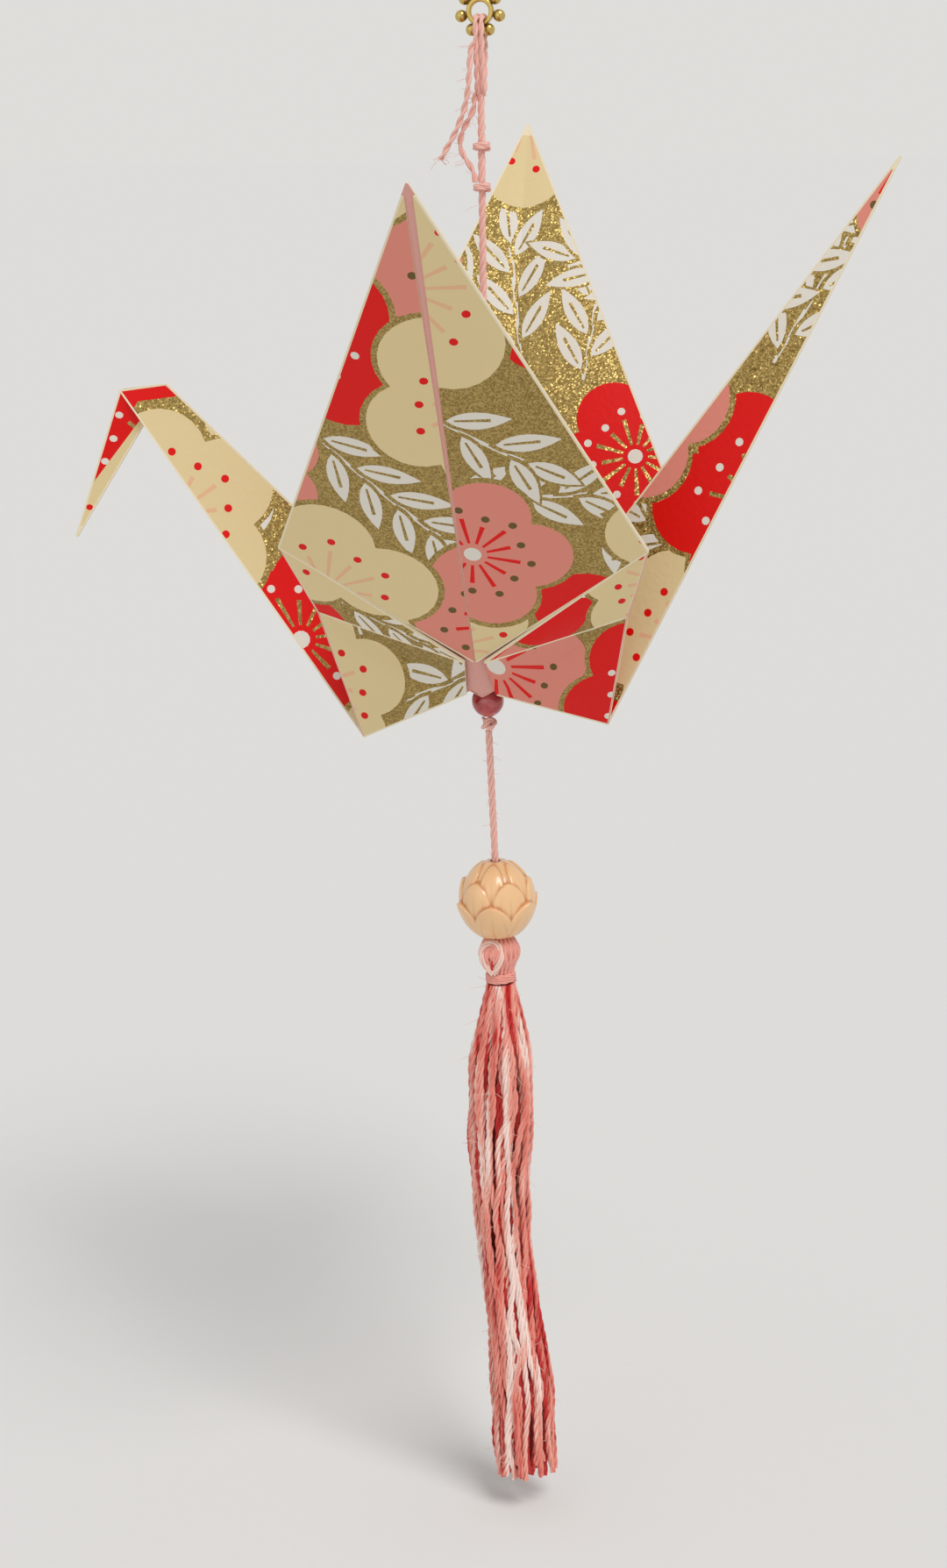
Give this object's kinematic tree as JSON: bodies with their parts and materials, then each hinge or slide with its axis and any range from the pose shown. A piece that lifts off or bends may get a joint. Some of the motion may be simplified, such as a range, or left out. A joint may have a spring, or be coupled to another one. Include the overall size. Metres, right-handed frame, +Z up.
{
  "type": "origami crane ornament",
  "caption": "Hanging ornament: a folded paper crane on a thread below a small ring, over a round bead, a carved flower bead and a floss tassel.",
  "frame": {"origin": "centre of the hanging ring's hole", "axes": "+Z up, neck towards -X, tail towards +X, front wing towards -Y"},
  "size_m": [0.0985, 0.0871, 0.1846],
  "materials": {
    "printed_paper": "printed paper with a slight varnish",
    "gilt_metal": "gilt, with dark patina between the balls",
    "pink_thread": "plied cotton floss",
    "red_glass": "glossy, mottled",
    "carved_resin": "polished, darker in the carving",
    "tassel_floss": "plied floss, pink with red and white strands"
  },
  "bodies": {
    "root": {"paper_crane": "printed_paper", "hang_ring": "gilt_metal", "thread_loop": "pink_thread", "loose_thread_end": "pink_thread", "bowed_thread_end": "pink_thread", "hanging_thread": "pink_thread", "upper_tie_knot": "pink_thread", "lower_tie_knot": "pink_thread", "red_bead": "red_glass", "bead_knot": "pink_thread", "drop_thread": "pink_thread", "flower_bead": "carved_resin", "tassel_head": "tassel_floss", "tassel_band": "tassel_floss", "tassel_skirt": "tassel_floss"}
  },
  "joints": []
}
